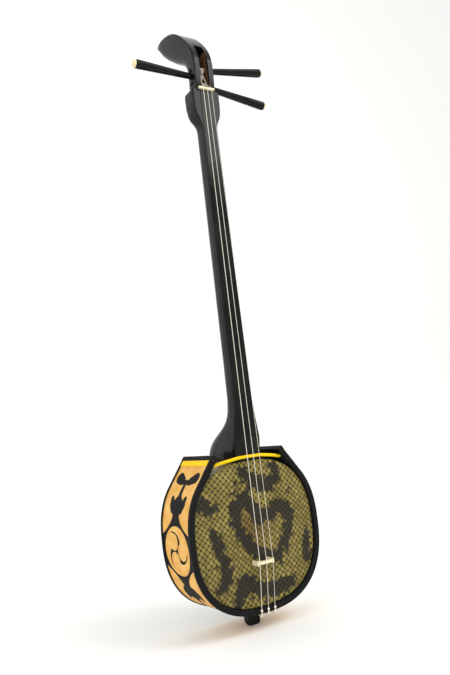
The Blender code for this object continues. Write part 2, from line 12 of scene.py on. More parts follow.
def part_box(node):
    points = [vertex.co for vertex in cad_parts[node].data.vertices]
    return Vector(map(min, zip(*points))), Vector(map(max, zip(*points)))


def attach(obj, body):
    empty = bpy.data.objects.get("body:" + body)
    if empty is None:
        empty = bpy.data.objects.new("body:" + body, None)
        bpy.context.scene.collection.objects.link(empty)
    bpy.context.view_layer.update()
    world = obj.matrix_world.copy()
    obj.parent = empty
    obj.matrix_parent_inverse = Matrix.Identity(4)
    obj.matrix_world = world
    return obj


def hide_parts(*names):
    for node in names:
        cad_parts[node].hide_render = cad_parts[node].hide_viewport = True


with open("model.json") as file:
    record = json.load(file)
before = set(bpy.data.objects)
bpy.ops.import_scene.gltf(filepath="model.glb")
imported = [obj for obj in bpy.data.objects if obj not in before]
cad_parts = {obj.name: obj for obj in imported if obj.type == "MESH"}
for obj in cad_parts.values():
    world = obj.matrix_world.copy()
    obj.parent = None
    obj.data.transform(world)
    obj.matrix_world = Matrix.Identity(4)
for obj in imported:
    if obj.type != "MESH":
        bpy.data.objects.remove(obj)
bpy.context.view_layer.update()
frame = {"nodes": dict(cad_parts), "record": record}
joints = {joint["name"]: joint for joint in frame["record"]["behaviour"]["joints"]}

# Facts of the body that several pieces share
body = {
    "gap": 0.0003,  # left between pieces that touch
    "half": 0.0855,  # from the middle to the outside of the wooden frame
    "shape": 2.5,  # exponent of the rounded square
    "skinThick": 0.0008,
    "skinWrap": 0.014,
    "clothThick": 0.005,
    "liningThick": 0.0008,
    "edgingThick": 0.0008,
    "edgingWide": 0.005,
    "leaves": math.radians(38),  # where the band leaves the body's outline
    "straight": 0.044,  # the band's straight ends
    "roundSteps": 520,  # stations on the band's rounded part
    "endSteps": 44,  # and on each straight end
}
body["middle"] = (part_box("left_frame")[0].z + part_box("left_frame")[1].z) / 2
body["deep"] = -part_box("front_binding")[0].y
body["skinFront"] = -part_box("front_skin")[0].y
liningIn = body["skinThick"] + 2 * body["gap"]
liningOut = liningIn + body["liningThick"]
clothIn = liningOut + body["gap"]
clothOut = clothIn + body["clothThick"]
edgingOut = clothOut + body["gap"] + body["edgingThick"]


# Camera: solved from the photograph's own corners

camera = {
    "place": (-0.4567, -0.7283, 0.2516),
    "ahead": (0.5351, 0.8356, 0.1247),
    "right": (0.8442, -0.5231, -0.1175),
    "lens": 35.29,  # in millimetres, for a picture of this side
    "side": 36,
    "nearest": 0.01,
}


def placeCamera():
    data = bpy.data.cameras.new("photoCamera")
    data.lens = camera["lens"]
    data.sensor_width = camera["side"]
    data.sensor_fit = "AUTO"
    data.clip_start = camera["nearest"]
    obj = bpy.data.objects.new("photoCamera", data)
    bpy.context.scene.collection.objects.link(obj)
    ahead = Vector(camera["ahead"]).normalized()
    right = Vector(camera["right"])
    right = (right - ahead * right.dot(ahead)).normalized()
    up = right.cross(ahead)
    turn = Matrix((right, up, -ahead)).transposed().to_4x4()
    obj.matrix_world = Matrix.Translation(camera["place"]) @ turn
    bpy.context.scene.camera = obj
    print("camera placed")


# Helpers for shader trees

def put(tree, kind, **settings):
    node = tree.nodes.new(kind)
    for key, value in settings.items():
        setattr(node, key, value)
    return node


def feed(tree, socket, value):
    # A socket is linked, and a number or colour is set.
    if isinstance(value, bpy.types.NodeSocket):
        tree.links.new(value, socket)
    else:
        socket.default_value = value


def calc(tree, operation, first, second=0.0, third=0.0, clamp=False):
    node = put(tree, "ShaderNodeMath", operation=operation, use_clamp=clamp)
    for socket, value in zip(node.inputs, (first, second, third)):
        feed(tree, socket, value)
    return node.outputs[0]


def centred(tree, value):
    return calc(tree, "SUBTRACT", value, 0.5)


def blendColour(tree, share, first, second):
    node = put(tree, "ShaderNodeMix", data_type="RGBA")
    feed(tree, node.inputs[0], share)
    feed(tree, node.inputs[6], first)
    feed(tree, node.inputs[7], second)
    return node.outputs[2]


def ramp(tree, value, low, high, toLow=0.0, toHigh=1.0):
    node = put(tree, "ShaderNodeMapRange", interpolation_type="SMOOTHSTEP")
    for socket, setting in zip(node.inputs, (value, low, high, toLow, toHigh)):
        feed(tree, socket, setting)
    return node.outputs[0]


def noise(tree, vector, scale, detail):
    node = put(tree, "ShaderNodeTexNoise")
    feed(tree, node.inputs["Vector"], vector)
    feed(tree, node.inputs["Scale"], scale)
    node.inputs["Detail"].default_value = detail
    return node.outputs["Fac"]


def newGroup(name, inputs, outputs):
    tree = bpy.data.node_groups.new(name, "ShaderNodeTree")
    for label, kind, default in inputs:
        socket = tree.interface.new_socket(label, in_out="INPUT", socket_type=kind)
        if default is not None:
            socket.default_value = default
    for label, kind in outputs:
        tree.interface.new_socket(label, in_out="OUTPUT", socket_type=kind)
    start = tree.nodes.new("NodeGroupInput")
    end = tree.nodes.new("NodeGroupOutput")
    return tree, start.outputs, end.inputs


def useGroup(tree, group, **settings):
    node = put(tree, "ShaderNodeGroup", node_tree=group)
    for label, value in settings.items():
        feed(tree, node.inputs[label], value)
    return node.outputs


def newMaterial(name, roughness=0.5, coat=0.0, sheen=0.0, specular=0.5):
    mat = bpy.data.materials.new(name)
    mat.use_nodes = True
    shader = mat.node_tree.nodes["Principled BSDF"]
    shader.inputs["Roughness"].default_value = roughness
    shader.inputs["Coat Weight"].default_value = coat
    shader.inputs["Coat Roughness"].default_value = 0.08
    shader.inputs["Sheen Weight"].default_value = sheen
    shader.inputs["Specular IOR Level"].default_value = specular
    return mat, mat.node_tree, shader


def addBump(tree, shader, height, distance, strength):
    bump = put(tree, "ShaderNodeBump")
    bump.inputs["Distance"].default_value = distance
    bump.inputs["Strength"].default_value = strength
    feed(tree, bump.inputs["Height"], height)
    tree.links.new(bump.outputs[0], shader.inputs["Normal"])


def places(tree, kind="Object"):
    return put(tree, "ShaderNodeTexCoord").outputs[kind]


# Effects that several materials share

def makeWeaveGroup():
    # Crossing threads: Height is their relief, Thread is 0 or 1 for weft or warp on top.
    inputs = [("Vector", "NodeSocketVector", None), ("Pitch", "NodeSocketFloat", 0.0006)]
    outputs = [("Height", "NodeSocketFloat"), ("Thread", "NodeSocketFloat")]
    tree, given, out = newGroup("threadWeave", inputs, outputs)
    split = put(tree, "ShaderNodeSeparateXYZ")
    feed(tree, split.inputs[0], given["Vector"])
    turn = calc(tree, "DIVIDE", math.pi, given["Pitch"])
    along = calc(tree, "SINE", calc(tree, "MULTIPLY", split.outputs[0], turn))
    across = calc(tree, "SINE", calc(tree, "MULTIPLY", split.outputs[1], turn))
    check = calc(tree, "MULTIPLY", along, across)
    top = ramp(tree, check, -0.15, 0.15)
    warp = calc(tree, "ABSOLUTE", along)
    weft = calc(tree, "ABSOLUTE", across)
    mixed = put(tree, "ShaderNodeMix", data_type="FLOAT")
    feed(tree, mixed.inputs[0], top)
    feed(tree, mixed.inputs[2], warp)
    feed(tree, mixed.inputs[3], weft)
    feed(tree, out["Height"], mixed.outputs[0])
    feed(tree, out["Thread"], top)
    return tree


handling = {
    "detail": 4.0,
    "stretch": (1.0, 1.0, 0.04),  # scratches run along Z
    "finer": 60.0,  # scratches against smudges
    "smudge": (0.35, 0.7),
    "scratch": (0.55, 0.75),
}


def makeHandlingGroup():
    # Slow smudges and fine scratches left by hands; both run from 0 to 1.
    inputs = [("Vector", "NodeSocketVector", None), ("Scale", "NodeSocketFloat", 30.0)]
    outputs = [("Smudge", "NodeSocketFloat"), ("Scratch", "NodeSocketFloat")]
    tree, given, out = newGroup("handlingMarks", inputs, outputs)
    smudge = noise(tree, given["Vector"], given["Scale"], handling["detail"])
    stretch = put(tree, "ShaderNodeMapping")
    feed(tree, stretch.inputs["Vector"], given["Vector"])
    stretch.inputs["Scale"].default_value = handling["stretch"]
    fine = calc(tree, "MULTIPLY", given["Scale"], handling["finer"])
    scratch = noise(tree, stretch.outputs[0], fine, 2.0)
    feed(tree, out["Smudge"], ramp(tree, smudge, *handling["smudge"]))
    feed(tree, out["Scratch"], ramp(tree, scratch, *handling["scratch"]))
    return tree


weaveGroup = makeWeaveGroup()
handlingGroup = makeHandlingGroup()


# Materials

lacquerLook = {
    "black": (0.0030, 0.0034, 0.0034, 1),
    "worn": (0.0080, 0.0078, 0.0068, 1),
    "smudges": 22.0,
    "gloss": (0.08, 0.2),  # roughness where clean and where smudged
    "relief": 0.00002,
    # Bare wood in the string slot: its look, and the limits between which it shows
    "woodLight": (0.16, 0.075, 0.03, 1),
    "woodDark": (0.07, 0.032, 0.014, 1),
    "woodGrain": 900.0,
    "woodRough": 0.45,  # added to the lacquer's roughness
    "slotHalf": 0.0069,
    "slotFront": -0.0385,
    "slotBack": -0.0215,
    "slotLow": 0.6880,
    "slotTop": 0.7420,
}


def slotMask(tree, spot):
    split = put(tree, "ShaderNodeSeparateXYZ")
    feed(tree, split.inputs[0], spot)
    side, depth, height = split.outputs
    mask = calc(tree, "LESS_THAN", calc(tree, "ABSOLUTE", side), lacquerLook["slotHalf"])
    for operation, value, limit in (
        ("GREATER_THAN", depth, "slotFront"),
        ("LESS_THAN", depth, "slotBack"),
        ("GREATER_THAN", height, "slotLow"),
        ("LESS_THAN", height, "slotTop"),
    ):
        mask = calc(tree, "MULTIPLY", mask, calc(tree, operation, value, lacquerLook[limit]))
    return mask


def makeLacquer():
    mat, tree, shader = newMaterial("blackLacquer", 0.12, coat=0.03, specular=0.14)
    spot = places(tree)
    marks = useGroup(tree, handlingGroup, Vector=spot, Scale=lacquerLook["smudges"])
    colour = blendColour(tree, marks["Smudge"], lacquerLook["black"], lacquerLook["worn"])
    hollow = slotMask(tree, spot)
    grain = noise(tree, spot, lacquerLook["woodGrain"], 2.0)
    wood = blendColour(tree, grain, lacquerLook["woodLight"], lacquerLook["woodDark"])
    feed(tree, shader.inputs["Base Color"], blendColour(tree, hollow, colour, wood))
    gloss = ramp(tree, marks["Smudge"], 0.0, 1.0, *lacquerLook["gloss"])
    rough = calc(tree, "MULTIPLY_ADD", hollow, lacquerLook["woodRough"], gloss)
    feed(tree, shader.inputs["Roughness"], rough)
    addBump(tree, shader, marks["Scratch"], lacquerLook["relief"], 0.4)
    return mat


ivoryLook = {
    "cream": (0.83, 0.72, 0.44, 1),
    "pale": (0.90, 0.83, 0.60, 1),
    "handled": (0.74, 0.60, 0.33, 1),
    "smudges": 160.0,
    "lines": 1400.0,
    "gloss": (0.28, 0.45),
    "relief": 0.00005,
}


def makeIvory():
    mat, tree, shader = newMaterial("creamIvory", 0.35, coat=0.1)
    spot = places(tree)
    marks = useGroup(tree, handlingGroup, Vector=spot, Scale=ivoryLook["smudges"])
    lines = noise(tree, spot, ivoryLook["lines"], 2.0)
    clean = blendColour(tree, lines, ivoryLook["cream"], ivoryLook["pale"])
    colour = blendColour(tree, marks["Smudge"], clean, ivoryLook["handled"])
    feed(tree, shader.inputs["Base Color"], colour)
    gloss = ramp(tree, marks["Smudge"], 0.0, 1.0, *ivoryLook["gloss"])
    feed(tree, shader.inputs["Roughness"], gloss)
    addBump(tree, shader, lines, ivoryLook["relief"], 0.5)
    return mat


silkLook = {
    "shaded": (0.72, 0.66, 0.50, 1),
    "light": (0.93, 0.90, 0.80, 1),
    "fibres": 5000.0,
    "rough": (0.35, 0.6),
    "relief": 0.00006,
}


def makeSilk():
    mat, tree, shader = newMaterial("creamSilk", 0.45, sheen=0.2)
    fibre = noise(tree, places(tree), silkLook["fibres"], 2.0)
    colour = blendColour(tree, fibre, silkLook["shaded"], silkLook["light"])
    feed(tree, shader.inputs["Base Color"], colour)
    feed(tree, shader.inputs["Roughness"], ramp(tree, fibre, 0.3, 0.7, *silkLook["rough"]))
    addBump(tree, shader, fibre, silkLook["relief"], 0.6)
    return mat


woodLook = {
    "dark": (0.30, 0.16, 0.07, 1),
    "light": (0.55, 0.34, 0.18, 1),
    "stretch": (1.0, 6.0, 1.0),
    "grain": 120.0,
    "rough": (0.5, 0.7),
    "relief": 0.0001,
}


def makeFrameWood():
    mat, tree, shader = newMaterial("frameWood", 0.6)
    stretch = put(tree, "ShaderNodeMapping")
    feed(tree, stretch.inputs["Vector"], places(tree))
    stretch.inputs["Scale"].default_value = woodLook["stretch"]
    grain = noise(tree, stretch.outputs[0], woodLook["grain"], 5.0)
    colour = blendColour(tree, grain, woodLook["dark"], woodLook["light"])
    feed(tree, shader.inputs["Base Color"], colour)
    feed(tree, shader.inputs["Roughness"], ramp(tree, grain, 0.3, 0.7, *woodLook["rough"]))
    addBump(tree, shader, grain, woodLook["relief"], 0.5)
    return mat


hideLook = {
    "pitch": 0.0052,  # between the rows of scales
    "sway": 0.0160,  # how far the rows wander
    "swayScale": 11.0,
    "corner": 3.2,  # exponent of a scale's rounded square
    "gold": (0.33, 0.26, 0.065, 1),
    "olive": (0.145, 0.112, 0.024, 1),
    "brown": (0.13, 0.058, 0.016, 1),
    "dark": (0.009, 0.009, 0.008, 1),
    "seam": (0.010, 0.007, 0.003, 1),
    # From olive to gold: a share by the scale and one by a slow cloud
    "lightest": (0.55, 0.15),
    "cloud": 0.9,
    "cloudScale": 34.0,
    "warmest": (0.5, 0.35),
    # A blotch's edge in metres, how ragged it is, and how dark it gets
    "blotchEdge": (-0.003, 0.0025),
    "rag": 0.018,
    "ragScale": 150.0,
    "ragByScale": 0.005,
    "darkest": 0.93,
    "rough": (0.65, 0.33),
    "grit": 0.12,
    "gritScale": 1500.0,
    "relief": 0.0004,
}


def wanderingRows(tree, flat):
    # Flat places in units of a scale, turned aslant and swayed a little
    drift = put(tree, "ShaderNodeTexNoise")
    feed(tree, drift.inputs["Vector"], flat)
    drift.inputs["Scale"].default_value = hideLook["swayScale"]
    drift.inputs["Detail"].default_value = 1.0
    around = put(tree, "ShaderNodeVectorMath", operation="SUBTRACT")
    feed(tree, around.inputs[0], drift.outputs["Color"])
    around.inputs[1].default_value = (0.5, 0.5, 0.5)
    moved = put(tree, "ShaderNodeVectorMath", operation="MULTIPLY_ADD")
    feed(tree, moved.inputs[0], around.outputs[0])
    moved.inputs[1].default_value = (hideLook["sway"],) * 3
    feed(tree, moved.inputs[2], flat)
    turned = put(tree, "ShaderNodeMapping")
    feed(tree, turned.inputs["Vector"], moved.outputs[0])
    turned.inputs["Rotation"].default_value = (0, 0, math.radians(45))
    turned.inputs["Scale"].default_value = (1 / hideLook["pitch"],) * 3
    return turned.outputs[0]


def scaleEdge(tree, rows):
    # 0 at the middle of a scale and 1 at its rim
    split = put(tree, "ShaderNodeSeparateXYZ")
    feed(tree, split.inputs[0], rows)
    reach = []
    for axis in (0, 1):
        inCell = calc(tree, "FRACT", split.outputs[axis])
        centre = calc(tree, "ABSOLUTE", centred(tree, inCell))
        reach.append(calc(tree, "POWER", calc(tree, "MULTIPLY", centre, 2.0), hideLook["corner"]))
    return calc(tree, "POWER", calc(tree, "ADD", reach[0], reach[1]), 1 / hideLook["corner"])


def scaleShade(tree, rows):
    # Each scale has its own shade
    cell = put(tree, "ShaderNodeVectorMath", operation="FLOOR")
    feed(tree, cell.inputs[0], rows)
    chance = put(tree, "ShaderNodeTexWhiteNoise")
    feed(tree, chance.inputs["Vector"], cell.outputs[0])
    return chance.outputs["Value"]


def hideColour(tree, flat, shade):
    cloud = centred(tree, noise(tree, flat, hideLook["cloudScale"], 2.0))
    light = calc(tree, "MULTIPLY_ADD", shade, *hideLook["lightest"])
    light = calc(tree, "MULTIPLY_ADD", cloud, hideLook["cloud"], light, clamp=True)
    colour = blendColour(tree, light, hideLook["olive"], hideLook["gold"])
    warm = put(tree, "ShaderNodeAttribute", attribute_name="warmth").outputs["Fac"]
    warmest = calc(tree, "MULTIPLY_ADD", shade, *hideLook["warmest"])
    warmth = calc(tree, "MULTIPLY", warm, warmest, clamp=True)
    colour = blendColour(tree, warmth, colour, hideLook["brown"])
    # Dark blotches with ragged edges
    blotch = put(tree, "ShaderNodeAttribute", attribute_name="blotch").outputs["Fac"]
    rag = centred(tree, noise(tree, flat, hideLook["ragScale"], 3.0))
    ragged = calc(tree, "MULTIPLY_ADD", rag, hideLook["rag"], blotch)
    ragged = calc(tree, "MULTIPLY_ADD", centred(tree, shade), hideLook["ragByScale"], ragged)
    darkness = ramp(tree, ragged, *hideLook["blotchEdge"], hideLook["darkest"], 0.0)
    return blendColour(tree, darkness, colour, hideLook["dark"])


def makeHide():
    mat, tree, shader = newMaterial("pythonHide", 0.4, coat=0.04, specular=0.2)
    flat = places(tree, "UV")
    rows = wanderingRows(tree, flat)
    edge = scaleEdge(tree, rows)
    scale = ramp(tree, edge, 0.80, 1.0, 1.0, 0.0)
    dome = ramp(tree, edge, 0.0, 0.95, 1.0, 0.0)
    colour = hideColour(tree, flat, scaleShade(tree, rows))
    feed(tree, shader.inputs["Base Color"], blendColour(tree, scale, hideLook["seam"], colour))
    feed(tree, shader.inputs["Roughness"], ramp(tree, scale, 0.0, 1.0, *hideLook["rough"]))
    grit = noise(tree, flat, hideLook["gritScale"], 2.0)
    raised = calc(tree, "MULTIPLY_ADD", grit, hideLook["grit"], dome)
    addBump(tree, shader, raised, hideLook["relief"], 0.7)
    return mat


clothLook = {
    "gold": (0.78, 0.38, 0.060, 1),
    "pale": (0.90, 0.55, 0.16, 1),
    "warp": (0.62, 0.30, 0.06, 1),
    "warpShare": 0.25,
    "ink": (0.003, 0.003, 0.003, 1),
    "cloudScale": 60.0,
    "pitch": 0.00075,
    "fray": 0.0004,
    "frayScale": 2500.0,
    "edge": 0.0003,  # half the soft width of the ornament's edge
    "rough": (0.5, 0.7),
    "inkHeight": -1.2,  # against the weave's own
    "relief": 0.00012,
}


def makeBrocade():
    mat, tree, shader = newMaterial("goldBrocade", 0.55, specular=0.2)
    flat = places(tree, "UV")
    weave = useGroup(tree, weaveGroup, Vector=flat, Pitch=clothLook["pitch"])
    cloud = noise(tree, flat, clothLook["cloudScale"], 3.0)
    gold = blendColour(tree, ramp(tree, cloud, 0.3, 0.7), clothLook["gold"], clothLook["pale"])
    warp = calc(tree, "MULTIPLY", weave["Thread"], clothLook["warpShare"])
    gold = blendColour(tree, warp, gold, clothLook["warp"])
    # The woven ornament: the distance to its edge is on the mesh
    edge = put(tree, "ShaderNodeAttribute", attribute_name="ornament").outputs["Fac"]
    fray = centred(tree, noise(tree, flat, clothLook["frayScale"], 1.0))
    edge = calc(tree, "MULTIPLY_ADD", fray, clothLook["fray"], edge)
    black = ramp(tree, edge, -clothLook["edge"], clothLook["edge"], 1.0, 0.0)
    feed(tree, shader.inputs["Base Color"], blendColour(tree, black, gold, clothLook["ink"]))
    feed(tree, shader.inputs["Roughness"], ramp(tree, black, 0.0, 1.0, *clothLook["rough"]))
    raised = calc(tree, "MULTIPLY_ADD", black, clothLook["inkHeight"], weave["Height"])
    addBump(tree, shader, raised, clothLook["relief"], 0.8)
    return mat


fabrics = {
    "fuzzScale": 1800.0,
    "relief": 0.2,  # share of the pitch
    "blackLining": {
        "colour": (0.004, 0.004, 0.005, 1),
        "tint": (0.012, 0.012, 0.013, 1),
        "pitch": 0.0006,
        "rough": 0.8,
    },
    "blackEdging": {
        "colour": (0.003, 0.003, 0.004, 1),
        "tint": (0.009, 0.009, 0.010, 1),
        "pitch": 0.0008,
        "rough": 0.6,
    },
    "yellowBraid": {
        "colour": (0.92, 0.52, 0.004, 1),
        "tint": (1.0, 0.74, 0.012, 1),
        "pitch": 0.0009,
        "rough": 0.55,
    },
}


def makeCloth(name):
    look = fabrics[name]
    mat, tree, shader = newMaterial(name, look["rough"], specular=0.12)
    spot = places(tree, "UV")
    weave = useGroup(tree, weaveGroup, Vector=spot, Pitch=look["pitch"])
    fuzz = noise(tree, spot, fabrics["fuzzScale"], 2.0)
    colour = blendColour(tree, fuzz, look["colour"], look["tint"])
    feed(tree, shader.inputs["Base Color"], colour)
    rough = ramp(tree, fuzz, 0.2, 0.8, look["rough"] - 0.1, look["rough"] + 0.1)
    feed(tree, shader.inputs["Roughness"], rough)
    raised = calc(tree, "ADD", weave["Height"], fuzz)
    addBump(tree, shader, raised, look["pitch"] * fabrics["relief"], 0.7)
    return mat


mats = {
    "lacquer": makeLacquer(),
    "ivory": makeIvory(),
    "silk": makeSilk(),
    "wood": makeFrameWood(),
    "hide": makeHide(),
    "brocade": makeBrocade(),
    "lining": makeCloth("blackLining"),
    "edging": makeCloth("blackEdging"),
    "tie": makeCloth("yellowBraid"),
}
print("materials made")


# Mesh helpers

def addMesh(name, verts, faces, mat, uvs=None, values=None, sharp=45):
    mesh = bpy.data.meshes.new(name)
    mesh.from_pydata([tuple(v) for v in verts], [], faces)
    if uvs is not None:
        layer = mesh.uv_layers.new(name="flat")
        for loop in mesh.loops:
            layer.data[loop.index].uv = uvs[loop.vertex_index]
    for label, numbers in (values or {}).items():
        mesh.attributes.new(label, "FLOAT", "POINT").data.foreach_set("value", numbers)
    bm = bmesh.new()
    bm.from_mesh(mesh)
    bmesh.ops.recalc_face_normals(bm, faces=bm.faces)
    bm.to_mesh(mesh)
    bm.free()
    mesh.shade_smooth()
    mesh.set_sharp_from_angle(angle=math.radians(sharp))
    mesh.materials.append(mat)
    obj = bpy.data.objects.new(name, mesh)
    bpy.context.scene.collection.objects.link(obj)
    return obj


def quarterTurn(steps):
    return [math.pi / 2 * i / steps for i in range(steps + 1)]


def ringFaces(rows, count, cyclic=False):
    # Joins rings of count points; an open run of rings is closed at both ends.
    faces = []
    for row in range(rows if cyclic else rows - 1):
        nextRow = (row + 1) % rows
        for i in range(count):
            j = (i + 1) % count
            near = (row * count + i, row * count + j)
            faces.append((*near, nextRow * count + j, nextRow * count + i))
    if not cyclic:
        faces.append(tuple(range(count)))
        faces.append(tuple((rows - 1) * count + i for i in range(count)))
    return faces


def smoothRoute(points, step):
    # A smooth curve through the points, parted into about even steps
    points = [Vector(point) for point in points]
    padded = [2 * points[0] - points[1], *points, 2 * points[-1] - points[-2]]
    dense = []
    for a, b, c, d in zip(padded, padded[1:], padded[2:], padded[3:]):
        parts = max(2, round((c - b).length / step))
        for i in range(parts):
            t = i / parts
            spot = b * 2 + (c - a) * t + (a * 2 - b * 5 + c * 4 - d) * t ** 2
            dense.append((spot + (b * 3 - a - c * 3 + d) * t ** 3) / 2)
    dense.append(points[-1])
    return dense


def straightRoute(points, step):
    dense = []
    for a, b in zip(points, points[1:]):
        parts = max(1, round((b - a).length / step))
        dense += [a.lerp(b, i / parts) for i in range(parts)]
    return [*dense, points[-1]]


def twistedCord(name, route, radius, mat, lay, sides, strands=3, depth=0.16, cyclic=False):
    # A cord of twisted strands: its section has one lobe a strand and turns once in lay diameters.
    rings = []
    uvs = []
    side = None
    done = 0.0
    count = len(route)
    spans = count if cyclic else count - 1
    total = sum((route[(i + 1) % count] - route[i]).length for i in range(spans))
    turnsPerMetre = max(1, round(total / (lay * 2 * radius))) / total
    for i, point in enumerate(route):
        before = route[i - 1] if i or cyclic else point
        after = route[(i + 1) % count] if i < count - 1 or cyclic else point
        ahead = (after - before).normalized()
        if side is None:
            side = ahead.orthogonal().normalized()
        side = (side - ahead * side.dot(ahead)).normalized()
        up = ahead.cross(side)
        if i:
            done += (point - route[i - 1]).length
        for k in range(sides):
            turn = math.tau * k / sides
            lobe = math.cos(strands * (turn - math.tau * done * turnsPerMetre))
            reach = radius * (1 - depth / 2 + depth / 2 * lobe)
            rings.append(point + side * reach * math.cos(turn) + up * reach * math.sin(turn))
            uvs.append((done, radius * turn))
    faces = ringFaces(count, sides, cyclic=cyclic)
    return addMesh(name, rings, faces, mat, uvs, sharp=80)


def dress(obj, bodyName, slot, *nodes):
    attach(obj, bodyName)
    if nodes:
        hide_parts(*nodes)


# Outlines of the body and its band

def signedPower(value, power):
    return math.copysign(abs(value) ** power, value)


def outlineFrame(angle):
    x = signedPower(math.cos(angle), 2 / body["shape"])
    z = signedPower(math.sin(angle), 2 / body["shape"])
    power = body["shape"] - 1
    normal = Vector((signedPower(x, power), signedPower(z, power))).normalized()
    point = Vector((x * body["half"], z * body["half"] + body["middle"]))
    return point, normal, Vector((-normal.y, normal.x))


def bandEnd(side, along, offset):
    point, normal, tangent = outlineFrame(body["leaves"])
    place = point + normal * offset + tangent * along
    return Vector((side * place.x, place.y))


def bandStations(along):
    # Outline points and outward normals from the left end round under the body to the right end
    found = []
    point, normal, tangent = outlineFrame(body["leaves"])
    for i in range(body["endSteps"]):
        place = point + tangent * along * (1 - i / body["endSteps"])
        found.append((Vector((-place.x, place.y)), Vector((-normal.x, normal.y))))
    start = math.pi - body["leaves"]
    span = math.pi + 2 * body["leaves"]
    for i in range(body["roundSteps"] + 1):
        spot, out, _ = outlineFrame(start + span * i / body["roundSteps"])
        found.append((spot, out))
    for i in range(1, body["endSteps"] + 1):
        place = point + tangent * along * i / body["endSteps"]
        found.append((place, normal))
    return found


def stationLengths(stations, offset):
    # Distance along the band at this offset, from the middle of its left side
    points = [spot + out * offset for spot, out in stations]
    lengths = [0.0]
    for a, b in zip(points, points[1:]):
        lengths.append(lengths[-1] + (b - a).length)
    left = [i for i in range(len(points)) if points[i].x < 0]
    middle = min(left, key=lambda i: abs(points[i].y - body["middle"]))
    return [length - lengths[middle] for length in lengths]


def bandSweep(name, section, along, mat, values=None):
    # Carries a closed section of (offset, y) points along the band
    stations = bandStations(along)
    lengths = stationLengths(stations, clothOut)
    verts = []
    uvs = []
    for (spot, out), length in zip(stations, lengths):
        for offset, y in section:
            place = spot + out * offset
            verts.append((place.x, y, place.y))
            uvs.append((length, y + offset))
    faces = ringFaces(len(stations), len(section))
    made = {label: make(uvs) for label, make in (values or {}).items()}
    return addMesh(name, verts, faces, mat, uvs, made, sharp=50)


# The hide on both faces

farOff = 1000.0  # millimetres, where no shape is near


hide = {
    "rows": 26,
    "around": 160,
    "rounding": 0.0012,
    "roundSteps": 5,
    "wallShares": (0.25, 0.5, 0.75, 1.0),
    "innerWrap": 0.001,
    "innerShare": 0.04,  # the inside's smallest ring
    # Dark blotches as chains of (x, z, radius) in millimetres from the body's middle
    "blotches": [
        [(-14, 74, 7), (4, 60, 11), (24, 53, 10), (38, 62, 8), (36, 76, 6)],
        [(-24, 60, 3), (-27, 50, 3)],
        [(-13, 43, 10), (-27, 32, 11), (-27, 14, 9), (-20, -4, 8), (-10, -18, 9), (6, -28, 8),
         (26, -34, 8), (37, -24, 8), (45, -8, 8), (52, 8, 9), (47, 21, 9), (34, 27, 9),
         (18, 17, 9), (2, 20, 8)],
        [(-13, 43, 9), (-2, 28, 9), (6, 12, 8)],
        [(-72, 42, 9), (-58, 36, 7)],
        [(-60, 8, 7), (-56, -10, 8), (-50, -26, 9), (-48, -42, 9), (-58, -54, 7)],
        [(-24, -56, 12), (-4, -66, 11), (14, -72, 10), (38, -68, 10)],
        [(-30, -66, 10), (-38, -76, 8)],
        [(74, -14, 6), (73, -46, 6)],
        [(52, 42, 4)],
    ],
    # The patch of brownish scales inside the big ring
    "brownPatch": (-8, 4, 26),
}


def chainDistance(x, z, chain):
    # Distance to a chain of round spots and the tapered stretches between them, in millimetres
    nearest = np.full(x.shape, farOff)
    for (x1, z1, r1), (x2, z2, r2) in zip(chain, chain[1:] or chain):
        run = max((x2 - x1) ** 2 + (z2 - z1) ** 2, 1e-9)
        share = np.clip(((x - x1) * (x2 - x1) + (z - z1) * (z2 - z1)) / run, 0, 1)
        away = np.hypot(x - x1 - share * (x2 - x1), z - z1 - share * (z2 - z1))
        nearest = np.minimum(nearest, away - r1 - share * (r2 - r1))
    return nearest


def hideValues(uvs, mirrored):
    flat = np.array(uvs) * 1000
    x = flat[:, 0] * (-1 if mirrored else 1)
    z = flat[:, 1]
    nearest = np.full(x.shape, farOff)
    for chain in hide["blotches"]:
        nearest = np.minimum(nearest, chainDistance(x, z, chain))
    px, pz, reach = hide["brownPatch"]
    warmth = np.clip(1.3 - np.hypot(x - px, z - pz) / reach, 0, 1)
    return {"blotch": nearest / 1000, "warmth": warmth}


def hideRows(side):
    # Rings of a skin as (share of the outline, offset, y, wrapped length), from its middle outwards
    face = side * body["skinFront"]
    hem = face - side * (body["skinWrap"] + body["gap"] + body["skinThick"])
    outer = body["gap"] + body["skinThick"]
    rounding = hide["rounding"]
    flatOut = outer - rounding
    rows = [(i / hide["rows"], flatOut, face, 0.0) for i in range(1, hide["rows"] + 1)]
    for turn in quarterTurn(hide["roundSteps"])[1:]:
        drop = rounding * (1 - math.cos(turn))
        rows.append((1, flatOut + rounding * math.sin(turn), face - side * drop, rounding * turn))
    for share in hide["wallShares"]:
        y = face + (hem - face) * share
        rows.append((1, outer, y, rounding + abs(y - face)))
    rows.append((1, body["gap"], hem, abs(hem - face)))
    inner = face - side * body["skinThick"]
    rows.append((1, body["gap"], inner, hide["innerWrap"]))
    rows.append((hide["innerShare"], body["gap"], inner, 0.0))
    return rows


def buildHide(name, side, node):
    rows = hideRows(side)
    verts = []
    uvs = []
    for share, offset, y, wrapped in rows:
        for i in range(hide["around"]):
            spot, out, _ = outlineFrame(math.tau * i / hide["around"])
            place = spot + out * offset
            away = Vector((place.x, place.y - body["middle"]))
            verts.append((away.x * share, y, body["middle"] + away.y * share))
            flat = away * share + out * wrapped
            uvs.append((flat.x, flat.y))
    faces = ringFaces(len(rows), hide["around"])
    obj = addMesh(name, verts, faces, mats["hide"], uvs, hideValues(uvs, side > 0), sharp=60)
    dress(obj, "instrument", "python_skin", node)


# The band: gold cloth with a woven ornament, its lining and its edging

bandRows = 60  # faces across the cloth

